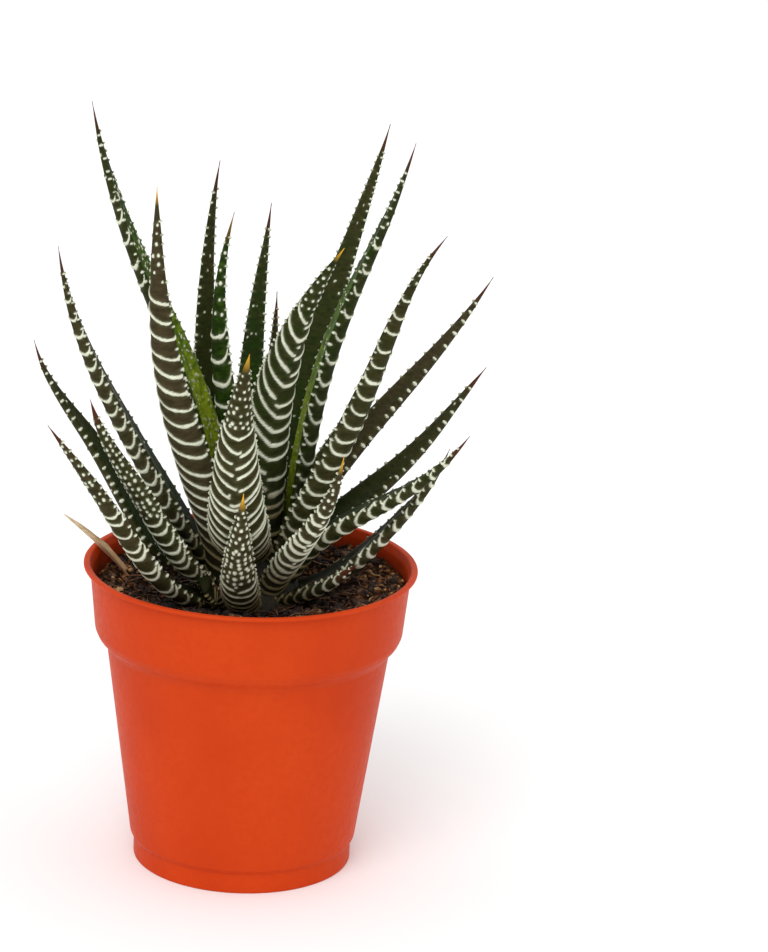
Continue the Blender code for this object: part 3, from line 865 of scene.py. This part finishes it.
def scatter(name, makers, height, material):
    """Join many small loose bits, each laid on the compost, into one piece."""
    verts, faces, shades, total = [], [], [], 0
    for (points, corners), (x, y), turn, sink, shade in makers:
        spin = np.array(Matrix.Rotation(turn, 3, "Z"))
        laid = points @ spin.T + np.array([x, y, height(x, y) + sink])
        verts.append(laid)
        faces.append(corners + total)
        shades.append(np.full(len(laid), shade))
        total += len(laid)
    obj = mesh_from(name, np.concatenate(verts), [np.concatenate(faces)])
    give(obj, "shade", np.concatenate(shades))
    return finish_piece(obj, material, "soil")


# ------------------------------------------------------------------ settings

def colour_property(name, description, default):
    return FloatVectorProperty(name=name, description=description, subtype="COLOR", size=3, min=0, max=1,
                               default=default)


def length_property(name, description, default):
    return FloatProperty(name=name, description=description, unit="LENGTH", default=default, min=0)


class HaworthiaPotSettings(bpy.types.PropertyGroup):
    rim_radius: length_property("Rim radius", "Radius of the lip's edge", POT_HIGH.x)
    height: length_property("Height", "From the foot to the top of the lip", POT_HIGH.z)
    lip_thickness: length_property("Lip thickness", "Height of the lip's edge", 0.9 * MM)
    lip_overhang: length_property("Lip overhang", "How far the lip stands out from the band", 1.6 * MM)
    wall: length_property("Wall", "Thickness of the side", 0.9 * MM)
    band_height: length_property("Band foot height", "Height of the band's lower edge", 62.0 * MM)
    band_radius: length_property("Band foot radius", "Radius of the band's lower edge", 39.3 * MM)
    shoulder_height: length_property("Shoulder height", "Top of the tapered body", 57.5 * MM)
    shoulder_radius: length_property("Shoulder radius", "Radius of the body's top", 36.2 * MM)
    foot_height: length_property("Foot height", "Bottom of the tapered body", 6.5 * MM)
    foot_radius: length_property("Foot radius", "Radius of the body's bottom", 29.1 * MM)
    base_height: length_property("Base ring height", "Height of the narrow ring at the base", 5.2 * MM)
    base_radius: length_property("Base radius", "Radius of the narrow ring", 28.1 * MM)
    base_thickness: length_property("Base thickness", "Thickness of the bottom", 1.2 * MM)
    hole_radius: length_property("Drain hole radius", "Radius of each drain hole", 3.5 * MM)
    hole_circle: length_property("Drain hole circle", "Distance of the holes from the middle", 19.0 * MM)
    colour: colour_property("Colour", "Main colour of the plastic", (0.560, 0.050, 0.007))
    colour_deep: colour_property("Deep colour", "Where the plastic looks denser", (0.51, 0.042, 0.006))
    colour_pale: colour_property("Pale colour", "Along the flow marks", (0.59, 0.056, 0.008))


class HaworthiaCompostSettings(bpy.types.PropertyGroup):
    roughness: length_property("Clod height", "How high the clods stand", 1.0 * MM)
    crumbs: IntProperty(name="Crumbs", description="Number of loose crumbs", default=1500, min=0)
    fibres: IntProperty(name="Fibres", description="Number of loose fibres", default=420, min=0)
    wet: colour_property("Wet", "Colour of wet peat", (0.003, 0.0016, 0.001))
    brown: colour_property("Brown", "Colour of moist peat", (0.028, 0.0105, 0.0045))
    dry: colour_property("Dry", "Colour of dry peat", (0.23, 0.096, 0.034))
    pale: colour_property("Pale", "Colour of bark bits and fibre", (0.66, 0.40, 0.15))


class HaworthiaLeafSettings(bpy.types.PropertyGroup):
    mark_height: length_property("Mark height", "How far the bands and dots stand up", 0.30 * MM)
    tip_length: length_property("Tip length", "How far the dry tip reaches", 9 * MM)
    skin_brown: colour_property("Brown skin", "Sun-browned skin", (0.060, 0.044, 0.022))
    skin_olive: colour_property("Olive skin", "Common skin", (0.038, 0.038, 0.011))
    skin_green: colour_property("Green skin", "Shaded skin", (0.014, 0.036, 0.004))
    skin_bright: colour_property("Bright skin", "Inner face of young leaves", (0.085, 0.16, 0.008))
    skin_lime: colour_property("Lime skin", "Palest inner face", (0.33, 0.42, 0.018))
    # This colour also paints the shade on the skin near the crown.
    wrinkle_and_shade: colour_property("Wrinkles", "Fine lines across the skin", (0.009, 0.009, 0.004))
    halo: colour_property("Halo", "Paler skin round the marks", (0.17, 0.18, 0.10))
    tip_red: colour_property("Red tip", "Colour of a dry tip", (0.10, 0.022, 0.014))
    tip_gold: colour_property("Gold tip", "Colour of a fresh tip", (0.74, 0.40, 0.035))
    mark: colour_property("Marks", "Colour of the bands and dots", (0.76, 0.79, 0.62))
    # Painted shade: the colour of the marks near the crown, where shade falls.
    mark_in_shade: colour_property("Shaded marks", "Their colour near the base", (0.20, 0.16, 0.075))
    straw: colour_property("Straw", "Withered leaf", (0.60, 0.48, 0.30))
    straw_deep: colour_property("Deep straw", "Folds of the withered leaf", (0.40, 0.25, 0.11))
    straw_rust: colour_property("Rust", "Foot of the withered leaf", (0.40, 0.15, 0.045))


class HaworthiaStudioSettings(bpy.types.PropertyGroup):
    floor_colour: colour_property("Floor", "Colour of the floor", (0.93, 0.93, 0.93))
    ambient: FloatProperty(name="Ambient light", description="Strength of the light from all round",
                           default=0.96)
    key: FloatProperty(name="Key light", description="Strength of the soft light from the front", default=1.1)
    softness: FloatProperty(name="Softness", description="Apparent width of the key light", subtype="ANGLE",
                            default=math.radians(36))
    lens: FloatProperty(name="Lens", description="Focal length", unit="CAMERA", default=149.26)


class HaworthiaSettings(bpy.types.PropertyGroup):
    pot: PointerProperty(type=HaworthiaPotSettings, name="Pot", description="Sizes and colours of the pot")
    compost: PointerProperty(type=HaworthiaCompostSettings, name="Compost", description="Look of the compost")
    leaves: PointerProperty(type=HaworthiaLeafSettings, name="Leaves", description="Look of the leaves")
    studio: PointerProperty(type=HaworthiaStudioSettings, name="Studio",
                            description="Floor, light and camera")


# ------------------------------------------------------------------ operators

class HAWORTHIA_OT_pot(bpy.types.Operator):
    """Turn the nursery pot and drill its drain holes"""
    bl_idname = "haworthia.pot"
    bl_label = "Make Pot"

    def execute(self, context):
        s = context.scene.haworthia.pot
        pot = lathe("Nursery_pot", fine_line(pot_line(s), POT_STEP), POT_COLUMNS)
        turns = [math.tau * (i + 0.5) / DRAIN_HOLES for i in range(DRAIN_HOLES)]
        drill(pot, [(s.hole_circle * math.cos(a), s.hole_circle * math.sin(a)) for a in turns],
              s.hole_radius, 4 * s.base_thickness)
        pot.data.set_sharp_from_angle(angle=SHARP)
        soil_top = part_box("soil")[1].z
        dust = []
        for vertex in pot.data.vertices:
            inwards = vertex.normal.x * vertex.co.x + vertex.normal.y * vertex.co.y < 0
            above = vertex.co.z - soil_top - 1.5 * MM
            dust.append(max(0.0, min(0.8, -above / (5 * MM))) if inwards else 0.0)
        give(pot, "dust", dust)
        finish_piece(pot, pot_material(s), "pot", "pot")
        return {"FINISHED"}


class HAWORTHIA_OT_compost(bpy.types.Operator):
    """Fill the pot with rough peat compost"""
    bl_idname = "haworthia.compost"
    bl_label = "Make Compost"

    def execute(self, context):
        s = context.scene.haworthia.compost
        make_compost(s, compost_material(s))
        return {"FINISHED"}


class HAWORTHIA_OT_litter(bpy.types.Operator):
    """Strew crumbs and fibres over the compost"""
    bl_idname = "haworthia.litter"
    bl_label = "Strew Crumbs and Fibres"

    def execute(self, context):
        s = context.scene.haworthia.compost
        rng = np.random.default_rng(11)
        height = compost_height(s)
        material = crumb_material(s)
        crumbs, fibres = [], []
        for _ in range(s.crumbs):
            turn, reach = rng.uniform(0, math.tau), CRUMB_REACH * math.sqrt(rng.uniform(0.12, 1))
            size = rng.choice((0.35, 0.5, 0.8, 1.2), p=(0.44, 0.32, 0.18, 0.06)) * MM * rng.uniform(0.8, 1.2)
            x, y = (reach - size) * math.cos(turn), (reach - size) * math.sin(turn)
            # Painted shade: crumbs are painted darker toward the middle, under the plant.
            shade = np.clip(rng.beta(0.8, 2.4) * 0.8 + 0.7 * dryness_and_shade(x, y) * rng.random() ** 2, 0, 1)
            crumbs.append((blob(rng, size), (x, y), rng.uniform(0, math.tau), 0.15 * size, shade))
        for _ in range(s.fibres):
            turn, reach = rng.uniform(0, math.tau), FIBRE_REACH * math.sqrt(rng.uniform(0.15, 1))
            length = rng.uniform(1.8, 6.5) * MM
            x, y = (reach - 0.45 * length) * math.cos(turn), (reach - 0.45 * length) * math.sin(turn)
            # Painted shade: fibres are painted darker toward the middle, under the plant.
            shade = np.clip(rng.beta(2, 2) * 0.8 + 0.25 * dryness_and_shade(x, y), 0, 1)
            fibres.append((strand(rng, length, rng.uniform(0.09, 0.22) * MM), (x, y),
                           rng.uniform(0, math.tau), rng.uniform(0.1, 0.6) * MM, shade))
        scatter("Compost_crumbs", crumbs, height, material)
        scatter("Compost_fibres", fibres, height, material)
        return {"FINISHED"}


class HAWORTHIA_OT_stem(bpy.types.Operator):
    """Finish the short stem between the leaf bases"""
    bl_idname = "haworthia.stem"
    bl_label = "Finish Stem"

    def execute(self, context):
        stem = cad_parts["stem"]
        stem.data.materials.clear()
        stem.data.materials.append(stem_material())
        return {"FINISHED"}


class HAWORTHIA_OT_leaves(bpy.types.Operator):
    """Grow every leaf with its raised white bands and dots"""
    bl_idname = "haworthia.leaves"
    bl_label = "Grow Leaves"

    def execute(self, context):
        s = context.scene.haworthia.leaves
        material = leaf_material(s)
        missing = sorted(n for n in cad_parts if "_leaf_" in n and n not in LOOKS)
        if missing:
            raise RuntimeError(f"no look is given for {missing}")
        for number, (node, look) in enumerate(LOOKS.items()):
            make_leaf(node, look, s, material, np.random.default_rng(100 + number))
        return {"FINISHED"}


class HAWORTHIA_OT_dry_leaf(bpy.types.Operator):
    """Lay the withered leaf over the rim"""
    bl_idname = "haworthia.dry_leaf"
    bl_label = "Make Withered Leaf"

    def execute(self, context):
        s = context.scene.haworthia.leaves
        verts, edges = frame_arrays("dry_leaf")
        rng = np.random.default_rng(5)
        outward = unit(verts[np.argmax(np.hypot(verts[:, 0], verts[:, 1]))] * (1, 1, 0))
        reach = verts @ outward
        tip, root = verts[reach.argmax()], verts[reach.argmin()]
        line, _ = spaced(np.array([root, tip]), 24)
        for _ in range(3):
            heading = unit(np.gradient(line, axis=0))
            for i in range(1, 23):
                found = cut_points(verts, edges, line[i], heading[i], 8 * MM)
                if len(found) > 3:
                    line[i] = (found.min(0) + found.max(0)) / 2
            line, run = spaced(smooth_rows(line, 1.0), 24)
        rows, columns = 130, 40
        at = np.linspace(0, run[-1] * 0.995, rows)
        spine = smooth_rows(np.stack([np.interp(at, run, line[:, k]) for k in range(3)], axis=1), 5)
        along = unit(np.gradient(spine, axis=0))
        across = unit(np.cross((0, 0, 1), along))
        upper = np.cross(along, across)
        part = (at / run[-1])[:, None]
        spine[:, 2] -= 3.5 * MM * (1 - part[:, 0]) ** 3
        ragged = 1 + 0.22 * wobble(rng, rows, 4)[:, None]
        half = 1.9 * MM * np.sin(math.pi * (0.02 + 0.98 * part) ** 0.85) * ragged + 0.05 * MM
        angle = np.linspace(0, math.tau, columns, endpoint=False)[None, :]
        x = half * np.cos(angle)
        fold = 0.9 * half * np.abs(np.cos(angle)) ** 1.5 * (0.5 + 0.5 * part)
        crease = 0.14 * MM * np.sin(9 * angle + 6 * part) * np.sin(math.pi * part)
        y = 0.28 * MM * (1.3 - part) * np.sin(angle) + fold - 0.4 * half + crease
        twist = 0.5 * part
        x, y = x * np.cos(twist) - y * np.sin(twist), x * np.sin(twist) + y * np.cos(twist)
        rings = spine[:, None] + across[:, None] * x[..., None] + upper[:, None] * y[..., None]
        obj = skin("Withered_leaf", rings, spine[0], line[-1])
        base = np.clip(1.4 - part / 0.5, 0, 1) * (0.6 + 0.4 * wobble(rng, rows, 6)[:, None])
        give(obj, "base", np.append(np.broadcast_to(base, x.shape).ravel(), (base[0, 0], 0)))
        finish_piece(obj, dry_leaf_material(s), "dry_leaf", "dry_leaf")
        return {"FINISHED"}


class HAWORTHIA_OT_studio(bpy.types.Operator):
    """Set up the pale floor, the soft lights and the camera"""
    bl_idname = "haworthia.studio"
    bl_label = "Set Up Studio"

    def execute(self, context):
        s = context.scene.haworthia.studio
        scene = context.scene
        scene.view_settings.view_transform = "Standard"
        sheet = bmesh.new()
        bmesh.ops.create_circle(sheet, cap_ends=True, segments=96, radius=14)
        floor = object_of("Floor", sheet)
        floor.data.materials.append(Nodes("Pale_floor").paint(s.floor_colour, 0.9, FLOOR_SHINE))

        world = bpy.data.worlds.new("Studio")
        world.use_nodes = True
        back = world.node_tree.nodes["Background"]
        back.inputs["Color"].default_value = (1.0, 1.0, 1.0, 1)
        back.inputs["Strength"].default_value = s.ambient
        scene.world = world
        lamp = bpy.data.lights.new("Key", "SUN")
        lamp.energy, lamp.angle = s.key, s.softness
        key_direction = Vector((0.20, 0.62, -0.76))
        in_scene("Key", lamp).rotation_euler = key_direction.to_track_quat("-Z", "Y").to_euler()

        data = bpy.data.cameras.new("Camera")
        data.lens, data.sensor_width = s.lens, 36
        data.clip_start, data.clip_end = 0.01, 60
        camera = in_scene("Camera", data)
        # The plant stands left of the middle of the view, and the camera is rolled a little.
        tilt, roll, distance = math.radians(17.84), math.radians(1.92), 1.0
        target = Vector((0, 0, 0.095))
        right = Vector((1, 0, 0))
        forward = Vector((0, math.cos(tilt), -math.sin(tilt)))
        up = right.cross(forward)
        aside, above = 0.0329, 0.00805
        axis = (forward * distance + right * aside + up * above).normalized()
        level = right * math.cos(roll) + up * math.sin(roll)
        level = (level - axis * level.dot(axis)).normalized()
        turn = Matrix((level, (-axis).cross(level), -axis)).transposed()
        camera.matrix_world = Matrix.Translation(target - forward * distance) @ turn.to_4x4()
        scene.camera = camera
        return {"FINISHED"}


class HAWORTHIA_PT_panel(bpy.types.Panel):
    """Makers of the potted haworthia, in order"""
    bl_idname = "HAWORTHIA_PT_panel"
    bl_label = "Potted Haworthia"
    bl_space_type = "VIEW_3D"
    bl_region_type = "UI"
    bl_category = "Haworthia"

    def draw(self, context):
        settings = context.scene.haworthia
        for maker in MAKERS:
            self.layout.operator(maker.bl_idname)
        for group in (settings.pot, settings.compost, settings.leaves, settings.studio):
            box = self.layout.box()
            for name in group.__annotations__:
                box.prop(group, name)


MAKERS = (HAWORTHIA_OT_pot, HAWORTHIA_OT_compost, HAWORTHIA_OT_litter, HAWORTHIA_OT_stem,
          HAWORTHIA_OT_leaves, HAWORTHIA_OT_dry_leaf, HAWORTHIA_OT_studio)
CLASSES = (HaworthiaPotSettings, HaworthiaCompostSettings, HaworthiaLeafSettings, HaworthiaStudioSettings,
           HaworthiaSettings) + MAKERS + (HAWORTHIA_PT_panel,)


def register():
    for made in CLASSES:
        bpy.utils.register_class(made)
    bpy.types.Scene.haworthia = PointerProperty(type=HaworthiaSettings)


def unregister():
    del bpy.types.Scene.haworthia
    for made in reversed(CLASSES):
        bpy.utils.unregister_class(made)


def main():
    register()
    bpy.ops.haworthia.pot()
    bpy.ops.haworthia.compost()
    bpy.ops.haworthia.litter()
    bpy.ops.haworthia.stem()
    bpy.ops.haworthia.leaves()
    bpy.ops.haworthia.dry_leaf()
    bpy.ops.haworthia.studio()


if __name__ == "__main__":
    main()
